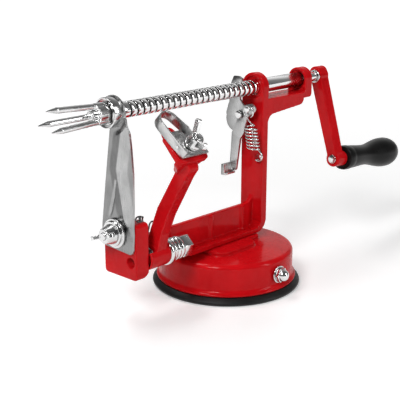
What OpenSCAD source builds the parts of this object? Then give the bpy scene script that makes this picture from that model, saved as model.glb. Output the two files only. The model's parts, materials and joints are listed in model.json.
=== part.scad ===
// Hand-cranked apple peeler on a suction base: it peels, cores and slices in one pass.
// Millimetres, +Z up. The origin is on the table under the middle of the round base.
// X runs along the feed shaft, with the fork at -X and the crank at +X.

/* [Base] */
// Outer radius of the rubber foot
foot_r = 50; // [48:0.5:53]
// Width of the rubber foot's ring
foot_w = 9; // [8:0.5:10]
// Outer radius of the domed housing's wall
housing_r = 45; // [44.5:0.5:46]
// Height of the flat on top of the housing
housing_h = 30; // [29.6:0.1:30.2]
// Wall thickness of the housing
housing_wall = 2.6; // [2.2:0.1:3]
// Height of the suction cam's shaft above the table
cam_z = 15.5; // [15.2:0.1:15.8]
// Lift of the suction cup
cup_lift = 3; // [2:0.1:3]

/* [Frame] */
// Height of the feed shaft's axis above the table
shaft_z = 129.3; // [128.5:0.1:130]
// Width of the column and the beam's flange
strip_w = 18.6; // [18:0.2:19.4]
// Thickness of the column
strip_t = 5.7; // [5.4:0.1:6]
// Front face of the column
column_x = 25.3; // [25:0.1:25.6]
// Front face of the rear bearing lug
rear_lug_x = 73.4; // [72:0.2:75]
// Length of the rear bearing lug
rear_lug_l = 7.6; // [7:0.2:9]
// Height of the beam's web
web_top = 50.3; // [49:0.1:51]

/* [Feed shaft] */
// Radius of the shaft over the thread's crests
shaft_r = 4.95; // [4.9:0.01:5]
// Lead of the feed thread
pitch = 5; // [4.9:0.02:5.1]
// Depth of the thread's groove
groove_d = 1.05; // [1:0.05:1.2]
// Radial clearance of the shaft in its bearings
shaft_fit = 0.08; // [0.06:0.01:0.1]

/* [Fork and crank] */
// Reach of the fork's tips in front of its hub
fork_l = 34; // [30:1:38]
// Radius of the circle on which the prongs stand
fork_pcd_r = 4.9; // [4.6:0.1:5]
// Distance from the shaft to the handle's axis
crank_l = 61.3; // [56:0.1:68]
// Thickness of the crank's arm
crank_t = 9.4; // [8.6:0.1:10]
// Length of the handle's grip
grip_l = 74.4; // [70:0.2:82]
// Largest radius of the grip
grip_r = 11.2; // [10.6:0.1:12]
// Droop of the handle's axis
grip_droop = 5; // [0:0.5:6]

/* [Release latch] */
// Front face of the latch plate
latch_x = 18.6; // [18.4:0.1:18.7]
// Thickness of the latch plate
latch_t = 1.8; // [1.6:0.1:2]
// Wire diameter of the latch spring
latch_wire = 1; // [0.9:0.05:1.1]
// Mean radius of the latch spring's coil
latch_coil_r = 4; // [3.8:0.1:4.2]

/* [Slicing arm] */
// Thickness of the slicing arm's sheet
slicer_t = 1.4; // [1.2:0.1:1.5]
// Height of the slicing arm's stud
slicer_z = 57; // [56.5:0.1:57.5]
// Outer radius of the coring tube
corer_r = 9; // [8.9:0.05:9.2]

/* [Peeler arm] */
// Height of the peeler arm's pivot
pivot_z = 40; // [39.8:0.1:40.4]
// Radius of the peeler arm's hub
hub_r = 7.5; // [7.2:0.1:7.8]
// Wire diameter of the arm spring
arm_wire = 1; // [0.9:0.05:1.1]
// Slope of the arm's head against the table
head_tilt = 46; // [44:1:48]

/* [Peeler blade] */
// Width of the blade's strip
blade_w = 6.3; // [5.6:0.1:6.6]
// Thickness of the blade's strip
blade_t = 0.8; // [0.7:0.05:1]
// Radius of the blade's loop
blade_r = 5.8; // [5.5:0.1:6.1]

/* [Hidden] */
$fn = 64;

red = [0.75, 0.04, 0.06];
steel = [0.78, 0.78, 0.79];
black = [0.08, 0.08, 0.09];

// height of the rubber foot, on which the housing stands
foot_h = 5.2;

// height of the pad on the dome, on which the beam stands
pad_h = 2.8;

// flat seats round the cam's shaft, one on each side of the housing
seat_r = 6.9;

// running gap between pieces that turn against each other
gap = 0.3;
eps = 0.01;

// frame
beam_z = housing_h + 0.3;
flange_t = 3;
web_y = [-1.4, 1.8];
flange_x = -44;
column_back = column_x + strip_t;
block_x = [-96.7, -86.7];
block_y = [-15.8, 12.6];
block_z = [29.4, 64];
screw_x = [-17, 14];
screw_y = -0.5;
screw_r = 1.3;
rib_r = 2.1;
latch_pivot = [5.2, 111.2];
latch_stud_at = [-4, 115.9];
spring_hole = [-5.6, 81.4];
bearing_r = shaft_r + shaft_fit;

// feed shaft
crest_w = 3.6;
flank_w = 0.2;
thread_steps = 20;
thread_turns = 25;
tooth_x = latch_x + latch_t / 2;
thread_x = tooth_x - crest_w - (pitch - crest_w) / 2 - 22 * pitch;
root_r = shaft_r - groove_d;
shaft_nose_x = -108;
step_x = 84;
tail_r = 3.6;
crank_x = 95.2;

// crank
crank_lean = 16.8;
handle_y = -crank_l * sin(crank_lean);
handle_z = shaft_z - crank_l * cos(crank_lean);
handle_boss_l = crank_t + 2.3;
grip_from = handle_boss_l + gap;
pin_r = 2.5;

// slicing arm
slicer_x = block_x[0] - gap - slicer_t;
stud_r = 2.2;

// peeler arm
pivot_y = -10.4;
hub_l = 16.4;
hub_x = [block_x[1] + gap, block_x[1] + gap + hub_l];
collar_end = hub_x[1] + 12.5;
bolt_r = 3.2;
arm_end_x = rear_lug_x - 3.1;
spring_pin_at = [-89.6, -11.6];
spring_pin_r = 0.8;

// blade, in the arm head's own frame: x along X, y towards the apple, z off the head
head_at = [-85, -41.3, 105.9];
head_t = 3.4;
blade_stud_at = [12.4, 7];
plate_t = 1.2;
rivet_r = 1.1;
rivet_y = 6.5;

// the blade's near leg leans by leg_lean, and its far leg opens by far_lean
leg_x = 0.27;
leg_l = 21.7;
leg_lean = 10.5;
far_lean = 14.3;
far_l = 11;

// Points of an arc about c from angle a to angle b
function arc(c, r, a, b, n = 8) = [for (i = [0:n]) let (t = a + (b - a) * i / n) c + r * [cos(t), sin(t)]];

// Draws a flat shape given in Y and Z, and extrudes it along X from x
module along_x(x, l) {
    translate([x, 0, 0]) rotate([90, 0, 90]) linear_extrude(l) children();
}

// A cylinder along X
module rod_x(x, l, r, y = 0, z = 0) {
    translate([x, y, z]) rotate([0, 90, 0]) cylinder(r = r, h = l);
}

// Draws a flat shape given in X and Z, and extrudes it along Y from y0 to y1
module along_y(y0, y1) {
    translate([0, y1, 0]) rotate([90, 0, 0]) linear_extrude(y1 - y0) children();
}

// A rectangle with rounded corners
module round_rect(lo, hi, r) {
    translate([lo[0] + r, lo[1]]) square([hi[0] - lo[0] - 2 * r, hi[1] - lo[1]]);
    translate([lo[0], lo[1] + r]) square([hi[0] - lo[0], hi[1] - lo[1] - 2 * r]);
    for (x = [lo[0] + r, hi[0] - r], y = [lo[1] + r, hi[1] - r]) translate([x, y]) circle(r);
}

// A strip between two points with a round end of its own radius at each
module bar(a, b, ra, rb) {
    d = b - a;
    side = [-d[1], d[0]] / norm(d) * 0.985;
    translate(a) circle(ra);
    translate(b) circle(rb);
    polygon([a + side * ra, b + side * rb, b - side * rb, a - side * ra]);
}

// One round tube along a list of points, six-sided, closed at both ends
module tube(points, d) {
    n = len(points);
    dirs = [for (i = [0:n - 1]) points[min(i + 1, n - 1)] - points[max(i - 1, 0)]];
    units = [for (v = dirs) v / norm(v)];
    // each ring's side direction is the last one's, made square to the new direction
    sides = [for (i = 0, s = square_to([0.31, 0.52, 0.79], units[0]); i < n;
        i = i + 1, s = i < n ? square_to(s, units[i]) : s) s];
    rings = [for (i = [0:n - 1], k = [0:5])
        points[i] + d / 2 * (cos(60 * k) * sides[i] + sin(60 * k) * cross(units[i], sides[i]))];
    walls = [for (i = [0:n - 2], k = [0:5]) each let (a = 6 * i, b = 6 * i + 6, m = (k + 1) % 6)
        [[a + k, b + k, b + m], [a + k, b + m, a + m]]];
    first = [for (k = [0:5]) k];
    last = [for (k = [5:-1:0]) 6 * (n - 1) + k];
    polyhedron(rings, concat(walls, [first, last]), convexity = 8);
}

function square_to(s, u) = let (v = s - (s * u) * u) v / norm(v);

// The least gap between parts of a tube that are more than three rings apart
function self_gap(points, d) = min([for (i = [0:len(points) - 1], j = [i + 4:1:len(points) - 1])
    norm(points[i] - points[j])]) - d;

// A wing nut on +Z with its seat at z = 0
module wing_nut(bore_r, boss_r, boss_h, span, rise) {
    difference() {
        union() {
            cylinder(r1 = boss_r, r2 = boss_r * 0.72, h = boss_h);
            for (turn = [0, 180]) rotate([90, 0, turn]) translate([0, 0, -1.2]) linear_extrude(2.4)
                bar([boss_r * 0.5, boss_h * 0.5], [span, rise], boss_h * 0.4, 2.2);
        }
        translate([0, 0, -1]) cylinder(r = bore_r, h = boss_h + rise);
    }
}

// Base

module rubber_foot() {
    inner = foot_r - foot_w;
    color(black) rotate_extrude($fn = 128) polygon(concat(
        [[inner, 0], [foot_r - 2, 0]],
        arc([foot_r - 2, 2], 2, -90, 20, 5),
        [[foot_r - 2.6, foot_h - 0.4], [foot_r - 3.6, foot_h], [inner, foot_h]]));
}

module base_housing() {
    wall_top = housing_h - 6;
    outer = concat(
        [[foot_r - 3.4, foot_h]],
        arc([foot_r - 3.6, foot_h + 1], 0.9, -60, 90, 5),
        [[housing_r + 0.6, foot_h + 2.6], [housing_r, foot_h + 3.8]],
        arc([housing_r - 3.2, wall_top - 1.2], 3.2, 0, 72, 6),
        [[26, housing_h - pad_h], [0, housing_h - pad_h]]);
    inner = [
        [0, housing_h - pad_h - housing_wall], [25.5, housing_h - pad_h - housing_wall],
        [housing_r - 4, wall_top - housing_wall], [housing_r - housing_wall, wall_top - housing_wall - 2],
        [housing_r - housing_wall, foot_h]];
    color(red) difference() {
        union() {
            rotate_extrude($fn = 128) polygon(concat(outer, inner));
            translate([0, 0, housing_h - pad_h - 1]) linear_extrude(pad_h + 1)
                round_rect([-24, -12.5], [22, 12.5], 4.5);
        }
        // the suction cam's shaft runs right through
        translate([0, foot_r, cam_z]) rotate([90, 0, 0]) cylinder(r = 3.05, h = 2 * foot_r);
        for (turn = [0, 180]) rotate([0, 0, turn]) translate([0, -housing_r - eps, cam_z]) rotate([90, 0, 0])
            cylinder(r = seat_r, h = foot_r - housing_r);
        for (x = screw_x) translate([x, screw_y, housing_h - 8]) cylinder(r = screw_r + 0.2, h = 10);
    }
}

module suction_cup() {
    cup_r = foot_r - foot_w - 0.8;
    color(black) union() {
        translate([0, 0, 0.8]) cylinder(r1 = cup_r, r2 = cup_r - 0.8, h = 2.4, $fn = 128);
        translate([0, 0, 3]) cylinder(r1 = 12, r2 = 9, h = 3);
    }
}

// A stem with a cross slot, in which the cam lifts it
module lift_yoke() {
    // the cam's crest runs ahead of the even lift by a fifth of it
    slot_h = 3.74 + 0.22 * cup_lift;
    slot_low = cam_z - cup_lift - 3.4;
    color(steel) difference() {
        union() {
            translate([0, 0, 6]) cylinder(r = 6, h = 1.4);
            translate([-9.4, -4, 7]) cube([18.8, 8, cam_z + slot_h + 1.2 - 7]);
        }
        translate([-7.2, -5, slot_low]) cube([14.4, 10, cam_z + slot_h - slot_low]);
    }
}

module cam_shaft() {
    ends = housing_r + 4;
    color(steel) union() {
        translate([0, ends + 8, cam_z]) rotate([90, 0, 0]) cylinder(r = 3, h = 2 * ends + 8);
        // the eccentric that lifts the cup
        translate([cup_lift, 3.6, cam_z]) rotate([90, 0, 0]) cylinder(r = 3.6, h = 7.2);
    }
}

module cam_washer() {
    color(steel) translate([0, -housing_r - gap, cam_z]) rotate([90, 0, 0]) difference() {
        cylinder(r = 5.7, h = 1.2);
        translate([0, 0, -1]) cylinder(r = 3, h = 4);
    }
}

module cam_nut() {
    seat = housing_r + gap + 1.2;
    color(steel) translate([0, -seat, cam_z]) rotate([90, 0, 0]) difference() {
        union() {
            cylinder(r = 5.1, h = 2.6, $fn = 6);
            translate([0, 0, 2.6]) intersection() {
                sphere(r = 4);
                translate([-6, -6, -0.2]) cube([12, 12, 6]);
            }
        }
        translate([0, 0, -1]) cylinder(r = 3, h = housing_r + 4 - seat + 1);
    }
}

module suction_lever() {
    hub_y = housing_r + 1.2;
    color(red) difference() {
        union() {
            translate([0, hub_y + 8, cam_z]) rotate([90, 0, 0]) cylinder(r = 6.4, h = 8);
            along_y(hub_y + 1.4, hub_y + 6.6) bar([0, cam_z], [44, cam_z + 1], 5.4, 6.6);
        }
        translate([0, hub_y + 9, cam_z]) rotate([90, 0, 0]) cylinder(r = 3, h = 10);
    }
}

// Frame

// The strip bent into the beam's flange and the column, seen along Y
module bent_strip() {
    bend = 9;
    polygon(concat(
        [[flange_x, beam_z]],
        arc([column_back - bend, beam_z + bend], bend, -90, 0),
        [[column_back, shaft_z], [column_x, shaft_z]],
        arc([column_x - 5, beam_z + flange_t + 5], 5, 0, -90),
        [[flange_x, beam_z + flange_t]]));
}

// The arm from the column's top towards the rear lug, seen along Y
module top_arm_side() {
    low = shaft_z - 18.3;
    high = shaft_z - 7.6;
    polygon(concat(
        [[column_x + 1, high]],
        [[column_x + 1, low - 8]],
        [[column_back, low - 6]],
        arc([column_back + 6, low - 6], 6, 180, 94),
        arc([arm_end_x - 4.4, low + 6.7], 4.4, -86, 0),
        [[arm_end_x, high]]));
}

module frame() {
    half = strip_w / 2;
    slope = 4.5;
    recess = 1.5;
    color(red) difference() {
        union() {
            along_y(-half, half) bent_strip();
            along_x(column_x, strip_t) translate([0, shaft_z]) circle(half + 0.4);
            along_y(-half, half - 1) top_arm_side();
            intersection() {
                along_x(rear_lug_x, rear_lug_l) union() {
                    translate([0, shaft_z + 0.6]) circle(7.8);
                    translate([-7.8, shaft_z - 12.1]) square([15.6, 12.7]);
                }
                // its outer lower edge is round
                along_y(-strip_w, strip_w)
                    round_rect([column_x, shaft_z - 12.1], [rear_lug_x + rear_lug_l, shaft_z + strip_w], 2.2);
            }
            translate([arm_end_x - 1, -7.8, shaft_z - 12.1]) cube([rear_lug_x + 2 - arm_end_x, 15.6, 4.5]);
            translate([block_x[1] - 1, web_y[0], beam_z + eps])
                cube([column_x + 1 - block_x[1] + 1, web_y[1] - web_y[0], web_top - beam_z]);
            for (x = screw_x) translate([x, screw_y - 0.3, beam_z])
                cylinder(r = rib_r, h = web_top - beam_z - 0.8);
            // the web's gusset on the column
            along_y(web_y[0], web_y[1]) polygon(concat(
                [[column_x + 1, web_top - 1]], [[column_x + 1, web_top + 6]],
                arc([column_x - 6, web_top + 6], 6, 0, -90), [[column_x - 6, web_top - 1]]));
            difference() {
                along_x(block_x[0], block_x[1] - block_x[0])
                    round_rect([block_y[0], block_z[0]], [block_y[1], block_z[1]], 2.4);
                // slope under the block's back
                along_y(block_y[0] - 1, block_y[1] + 1) polygon([
                    [block_x[1] - slope, block_z[0] - 1], [block_x[1] + 1, block_z[0] - 1],
                    [block_x[1] + 1, block_z[0] + slope]]);
            }
        }
        rod_x(column_x - 5, rear_lug_x + rear_lug_l - column_x + 10, bearing_r, z = shaft_z);
        // recesses in front of both bearings
        rod_x(column_x - 1, recess + 1, bearing_r + 2.2, z = shaft_z);
        rod_x(rear_lug_x - 1, recess + 1, bearing_r + 1.6, z = shaft_z);
        // hollow under the top arm
        translate([column_back + 4, -half + 3, shaft_z - 40])
            cube([arm_end_x - column_back - 7, strip_w - 7, 29]);
        rod_x(block_x[0] - 1, 12, bolt_r + 0.05, pivot_y, pivot_z);
        rod_x(block_x[0] - 1, 9, stud_r, 0, slicer_z);
        rod_x(column_x - 1, strip_t + 2, 2, latch_pivot[0], latch_pivot[1]);
        rod_x(column_x - 1, strip_t + 2, 2.9, spring_hole[0], spring_hole[1]);
        for (x = screw_x) translate([x, screw_y, beam_z - 1]) cylinder(r = screw_r, h = 13);
        translate([spring_pin_at[0], spring_pin_at[1], block_z[1] - 6]) cylinder(r = spring_pin_r, h = 8);
    }
}

module frame_screws() {
    head_z = housing_h - pad_h - housing_wall;
    color(steel) for (x = screw_x) translate([x, screw_y, head_z - 2.2]) union() {
        cylinder(r = 2.8, h = 2.2);
        cylinder(r = screw_r, h = 2.2 + housing_wall + pad_h + 11);
    }
}

// Feed shaft

// A point of the thread: step i along the helix, corner k of its profile
function thread_point(i, k) = let (
    turn = 360 * i / thread_steps,
    r = k < 2 ? shaft_r : root_r,
    along = [0, crest_w, crest_w + flank_w, pitch - flank_w][k]
) [thread_x + pitch * i / thread_steps + along, r * cos(turn), r * sin(turn)];

// The threaded length as one closed skin: crest, flank, groove and flank, turn after turn
module thread() {
    steps = thread_steps * thread_turns;
    ring = [for (i = [0:steps], k = [0:3]) thread_point(i, k)];
    ends = [[thread_x + pitch / 2, 0, 0], [thread_x + pitch * (thread_turns + 0.5), 0, 0]];
    c0 = 4 * (steps + 1);
    c1 = c0 + 1;
    skin = [for (i = [0:steps - 1], k = [0:3])
        // the fourth corner joins the next turn's first
        let (next = k < 3 ? 4 * i + k + 1 : 4 * (i + thread_steps))
        if (k < 3 || i + thread_steps < steps)
            each let (a = 4 * i + k, b = a + 4, c = next + 4) [[a, c, b], [a, next, c]]];
    start = concat(
        [for (i = [0:thread_steps - 1]) [c0, 4 * i, 4 * (i + 1)]],
        [[c0, 4 * thread_steps, 3], [c0, 3, 2], [c0, 2, 1], [c0, 1, 0]]);
    z = 4 * steps;
    finish = concat(
        [for (i = [steps - thread_steps:steps - 1]) [c1, 4 * i + 7, 4 * i + 3]],
        [[c1, 4 * (steps - thread_steps) + 3, z], [c1, z, z + 1], [c1, z + 1, z + 2], [c1, z + 2, z + 3]]);
    polyhedron(concat(ring, ends), concat(skin, start, finish), convexity = 10);
}

module feed_shaft() {
    plain_r = shaft_r + 0.02;
    thread_end = thread_x + pitch * (thread_turns - 1);
    color(steel) translate([0, 0, shaft_z]) union() {
        thread();
        rod_x(shaft_nose_x, thread_x + pitch + 1 - shaft_nose_x, plain_r);
        rod_x(thread_end, step_x - thread_end, plain_r);
        rod_x(step_x - 1, crank_x + crank_t - step_x + 2, tail_r);
    }
}

module fork() {
    seat_l = 15;
    hub_x0 = shaft_nose_x - 4;
    prong_r = 1.8;
    point_l = 7;
    rod_l = fork_l + 2 - point_l;
    color(steel) translate([0, 0, shaft_z]) difference() {
        union() {
            rod_x(hub_x0, seat_l, 6.2);
            rod_x(hub_x0 - 3, 4, 2.5);
            for (turn = [101, 221, 341]) rotate([turn, 0, 0]) {
                // the lobe on the hub, then the prong with its point
                rod_x(hub_x0 - 0.8, seat_l - 0.4, 2.1, fork_pcd_r);
                translate([hub_x0 + 2, fork_pcd_r, 0]) rotate([0, -90, -3]) union() {
                    cylinder(r = prong_r, h = rod_l);
                    translate([0, 0, rod_l]) cylinder(r1 = prong_r, r2 = 0.3, h = point_l);
                }
            }
        }
        rod_x(shaft_nose_x, seat_l + 4, shaft_r + 0.02);
    }
}

// Places a piece that is drawn along +Z on the handle's axis, from the crank's front face on
module on_handle() {
    translate([crank_x, handle_y, handle_z]) rotate([0, 90 + grip_droop, 0]) children();
}

module crank_arm() {
    color(red) difference() {
        union() {
            along_x(crank_x, crank_t) bar([0.6, shaft_z + 2.2], [handle_y, handle_z], 4.6, 3.8);
            rod_x(crank_x, crank_t, 5.2, 0, shaft_z);
            on_handle() translate([0, 0, 0.5]) cylinder(r = 5.6, h = handle_boss_l - 0.5);
        }
        rod_x(crank_x - 1, crank_t + 3, tail_r, 0, shaft_z);
        on_handle() translate([0, 0, -2]) cylinder(r = pin_r, h = grip_from + 4);
        on_handle() translate([0, 0, -5]) cylinder(r = 3.4, h = 5.8);
    }
}

module thrust_washer() {
    color(steel) translate([0, 0, shaft_z]) difference() {
        rod_x(crank_x - gap - 1.4, 1.4, tail_r + 1);
        rod_x(crank_x - 5, 8, tail_r + 0.06);
    }
}

module handle_pin() {
    color(steel) on_handle() union() {
        translate([0, 0, -0.4]) cylinder(r = 3.1, h = 1.2);
        cylinder(r = pin_r, h = grip_from + grip_l * 0.7);
    }
}

// A soft step from 0 to 1 as u goes from a to b
function ease(u, a, b) = 0.5 - 0.5 * cos(180 * min(max((u - a) / (b - a), 0), 1));

// Radius of the grip at a share u of its length: collar, neck, then the bulb
function grip_at(u) = let (
    collar = 9,
    neck = 7.6,
    cap = u > 0.78 ? sqrt(max(0, 1 - pow((u - 0.78) / 0.22, 2))) : 1
) (collar - 0.5 * ease(u, 0.08, 0.11) + (neck - collar + 0.5) * ease(u, 0.12, 0.38)
    + (grip_r - neck) * ease(u, 0.38, 0.76)) * cap;

module handle_grip() {
    slices = 30;
    color(black) on_handle() translate([0, 0, grip_from]) difference() {
        rotate_extrude() polygon(concat(
            [[0, 0], [8.4, 0]],
            [for (i = [1:slices - 1]) [grip_at(i / slices), grip_l * i / slices]],
            [[grip_at(0.985), grip_l * 0.985], [0, grip_l]]));
        translate([0, 0, -1]) cylinder(r = pin_r + 0.06, h = grip_l * 0.7 + 2);
    }
}

// Release latch

module latch_outline() {
    z = shaft_z;
    difference() {
        union() {
            // nose behind and over the thread
            polygon([
                [6, z - 14], [15.5, z - 16], [13.6, z + 2], [11, z + 7.2], [6.6, z + 7.4], [4, z + 6], [5, z]]);
            // body with the pivot, and the ear that holds the spring
            translate([9, 107.5]) circle(8.4);
            bar([12.4, 111], [11, z - 14], 5, 5);
            bar(latch_pivot, latch_stud_at, 5, 3.4);
            polygon([
                [6.4, 122.1], [0.7, 116.1], [-2, 113], [0.5, 104],
                [1.9, 98.6], [4.6, 94.8], [8.5, 94], [9, 108]]);
            // leg down to the thumb tab
            bar([8.5, 97], [11, 74], 3.9, 2.95);
        }
        translate([0, z]) circle(shaft_r + 1.1);
        translate(latch_pivot) circle(2.06);
    }
}

module latch_plate() {
    tip = root_r + 0.25;
    tab_l = 8.6;
    tab_y = 14.1;
    tab_z = 69.6;
    color(steel) union() {
        along_x(latch_x, latch_t) latch_outline();
        // the tooth in the thread's groove
        translate([tooth_x - 0.2, tip, shaft_z - 0.8]) cube([0.4, 3.4, 1.6]);
        // thumb tab, bent forwards at the leg's foot: wall, floor and front lip
        translate([latch_x - tab_l, tab_y - 1.5, tab_z]) cube([tab_l + latch_t, 1.5, 7.4]);
        translate([latch_x - tab_l, tab_y - 3.7, tab_z]) cube([tab_l + latch_t, 3.7, 1.2]);
        translate([latch_x - tab_l, tab_y - 2.5, tab_z]) cube([1.2, 2.5, 7.4]);
    }
}

module latch_screw() {
    color(steel) translate([0, latch_pivot[0], latch_pivot[1]]) union() {
        rod_x(latch_x - 2.1, 1.8, 2.6);
        rod_x(latch_x - 1, column_back - latch_x + 1, 2);
    }
}

module latch_spacer() {
    inner = latch_x + latch_t + gap;
    color(steel) translate([0, latch_pivot[0], latch_pivot[1]]) difference() {
        rod_x(inner, column_x - inner, 3.6);
        rod_x(inner - 1, column_x - inner + 2, 2);
    }
}

module latch_stud() {
    color(steel) translate([0, latch_stud_at[0], latch_stud_at[1]]) union() {
        rod_x(latch_x - 3.4, 3.4, 1.3);
        rod_x(latch_x - 4.2, 0.9, 1.9);
    }
}

// The extension spring: a loop on the latch's stud, the coil, and a hook into the column's hole
latch_coils = 7;
latch_coil_top = [latch_x - 1.4, -5.6, 104.6];
latch_coil_end = [column_x - 6.4, -7, 89];

function latch_spring_points() = let (
    loop_r = 3.9,
    loop_c = [latch_x - 2, latch_stud_at[0], latch_stud_at[1] + 1.6 + latch_wire / 2 - loop_r],
    loop = [for (i = [0:9]) let (a = 235 - 33 * i) loop_c + loop_r * [0, cos(a), sin(a)]],
    axis = latch_coil_end - latch_coil_top,
    coil = [for (i = [0:8 * latch_coils]) let (a = 45 * i)
        latch_coil_top + axis * i / (8 * latch_coils) + latch_coil_r * [cos(a), sin(a), 0]],
    hook_r = 3.6,
    hook_c = [column_x - 1.5, spring_hole[0] - 1.2, spring_hole[1] + 2.2],
    hook = [for (i = [0:5]) let (a = 60 + 36 * i) hook_c + hook_r * [0, -sin(a - 30), cos(a - 30)]],
    hole = [column_x, spring_hole[0], spring_hole[1]]
) concat(loop, [latch_coil_top + [2.4, 2.9, 2.2]], coil, hook, [hole + [0.2, -0.4, -0.5], hole + [3.6, 0, 0]]);

module latch_spring() {
    points = latch_spring_points();
    echo(latch_spring_gap = self_gap(points, latch_wire));
    color(steel) tube(points, latch_wire);
}

// Slicing arm

module slicing_arm() {
    color(steel) difference() {
        union() {
            along_x(slicer_x, slicer_t) polygon(concat(
                arc([-11.8, slicer_z - 8.2], 2.8, -90, -180, 5),
                [[-15.6, slicer_z + 9], [-15.9, slicer_z + 38.6]],
                [[-13.9, shaft_z - 10.4], [-10, shaft_z - 2.1]],
                [[-corer_r, shaft_z + 1], [0, shaft_z], [3, shaft_z - corer_r - 1.9]],
                [[5.1, slicer_z + 48.1], [7.8, slicer_z + 31.1], [12, slicer_z + 3]],
                arc([8.6, slicer_z - 6.2], 3.7, 10, -80, 5)));
            rod_x(slicer_x, slicer_t, corer_r + 0.7, 0, shaft_z);
        }
        rod_x(slicer_x - 1, slicer_t + 2, corer_r, 0, shaft_z);
        rod_x(slicer_x - 1, slicer_t + 2, stud_r + 0.06, 0, slicer_z);
    }
}

module coring_tube() {
    color(steel) translate([0, 0, shaft_z]) difference() {
        rod_x(slicer_x - 6, slicer_t + 6, corer_r);
        rod_x(slicer_x - 8, slicer_t + 12, corer_r - 0.8);
    }
}

module slicer_stud() {
    color(steel) rod_x(slicer_x - 10.6, block_x[0] + 8 - slicer_x + 10.6, stud_r, 0, slicer_z);
}

module slicer_washer() {
    color(steel) translate([0, 0, slicer_z]) difference() {
        union() {
            rod_x(slicer_x - gap - 1.4, 1.4, 9);
            rod_x(slicer_x - gap - 3.2, 2, 7.6);
        }
        rod_x(slicer_x - 6, 8, stud_r);
    }
}

module slicer_wing_nut() {
    color(steel) translate([slicer_x - 2 * gap - 3.2, 0, slicer_z]) rotate([72, 0, 0]) rotate([0, -90, 0])
        wing_nut(stud_r + 0.06, 6.2, 6, 7.6, 6.6);
}

// Peeler arm

module peeler_arm() {
    stem_x = hub_x[0] + 6.2;
    stem_w = 7.8;
    stem = [[pivot_y, pivot_z + 2], [-14.6, 56], [-20.6, 70], [-36, 95.6], [-39.8, 99.4]];
    stem_r = [5.4, 4.6, 4.6, 4.2, 3.4];
    head_y = -2.6;
    color(red) difference() {
        union() {
            rod_x(hub_x[0], hub_x[1] - hub_x[0], hub_r, pivot_y, pivot_z);
            along_x(stem_x, stem_w)
                for (i = [0:3]) bar(stem[i], stem[i + 1], stem_r[i], stem_r[i + 1]);
            // the head that carries the blade
            in_head() translate([0, 0, -head_t - gap]) linear_extrude(head_t) union() {
                round_rect([-1.6, head_y], [21.6, 17], 2.4);
                translate([4.4, 17.2]) circle(4.6);
            }
            // the stem spreads out under it
            in_head() translate([0, head_y + 4.4, 0]) rotate([90, 0, 0]) linear_extrude(4) polygon([
                [0.2, -1], [20, -1], [20, -head_t - gap - 0.2], [stem_x + stem_w - head_at[0] - 1, -15],
                [stem_x - head_at[0] + 1, -15], [0.2, -head_t - 3]]);
        }
        rod_x(hub_x[0] - 1, hub_x[1] - hub_x[0] + 2, bolt_r + 0.06, pivot_y, pivot_z);
        // nothing stands above the head's face
        in_head() translate([-20, -20, -gap]) cube([60, 60, 30]);
        // room for the spring's coil round the pivot, open at the top
        difference() {
            rod_x(hub_x[0] - 1, 7, hub_r - 1, pivot_y, pivot_z);
            rod_x(hub_x[0] - 2, 9, 4.4, pivot_y, pivot_z);
        }
        translate([hub_x[0] - 1, pivot_y - 12, pivot_z + 4.5]) cube([6.9, 24, 30]);
        in_head() translate([blade_stud_at[0], blade_stud_at[1], -8]) cylinder(r = 2, h = 8);
    }
}

module pivot_bolt() {
    head_x = collar_end + gap;
    color(steel) translate([0, pivot_y, pivot_z]) union() {
        rod_x(block_x[0] + 4.5, head_x - block_x[0] - 4, bolt_r);
        translate([head_x, 0, 0]) rotate([14, 0, 0]) rotate([0, 90, 0]) cylinder(r = 7.5, h = 7, $fn = 6);
    }
}

module pivot_collar() {
    color(steel) translate([0, pivot_y, pivot_z]) difference() {
        union() {
            rod_x(hub_x[1] + gap, 3.4, 8.3);
            rod_x(hub_x[1] + gap + 3, collar_end - hub_x[1] - 3, 7.4);
        }
        rod_x(hub_x[1] - 2, collar_end - hub_x[1] + 4, bolt_r);
    }
}

// The torsion spring round the pivot: an eye on the block's pin, a coil, and a hook on the arm's stem
arm_coils = 3;
arm_coil_r = 5.6;

function arm_spring_points() = let (
    x0 = hub_x[0] + 1,
    step = 1.45,
    // the coil starts and ends at the top, on the side towards the apple
    from = 60,
    coil = [for (i = [0:8 * arm_coils]) let (a = from + 45 * i)
        [x0 + step * i / 8, pivot_y + arm_coil_r * cos(a), pivot_z + arm_coil_r * sin(a)]],
    eye_c = [spring_pin_at[0], spring_pin_at[1], block_z[1] + 1.9],
    // the eye leans, higher at the back
    across = [0.687, -0.726, 0],
    back = [0.663, 0.628, 0.407],
    eye = [for (i = [0:7]) let (a = 45 + 40 * i) eye_c + 2.4 * (cos(a) * across + sin(a) * back)],
    up = [[x0 - 0.3, pivot_y + 3.4, block_z[1] - 14], [x0 - 0.45, pivot_y + 1.6, block_z[1] - 4],
        [x0 - 0.45, pivot_y + 0.4, block_z[1] + 1.6]],
    last = coil[len(coil) - 1],
    leg = [[last[0], -8, pivot_z + 9], [last[0], -9.2, pivot_z + 15],
        [last[0], -10.2, pivot_z + 18.5], [last[0] + 0.3, -10.6, pivot_z + 20.8],
        [last[0] + 1.6, -10.9, pivot_z + 22], [last[0] + 3.2, -11, pivot_z + 21.6]]
) concat([for (i = [7:-1:0]) eye[i]], [up[2], up[1], up[0]], coil, leg);

module arm_spring() {
    points = arm_spring_points();
    echo(arm_spring_gap = self_gap(points, arm_wire));
    color(steel) tube(points, arm_wire);
}

module spring_pin() {
    color(steel) translate([spring_pin_at[0], spring_pin_at[1], block_z[1] - 5]) union() {
        cylinder(r = spring_pin_r, h = 7.4);
        translate([0, 0, 7.4]) sphere(r = spring_pin_r);
    }
}

// Peeler blade

module in_head() {
    translate(head_at) rotate([head_tilt, 0, 0]) children();
}

// Places a piece on the blade's near leg: x across the strip, y along the leg
module on_leg() {
    in_head() translate([leg_x, 0, 0]) rotate([0, 0, leg_lean]) children();
}

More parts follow.
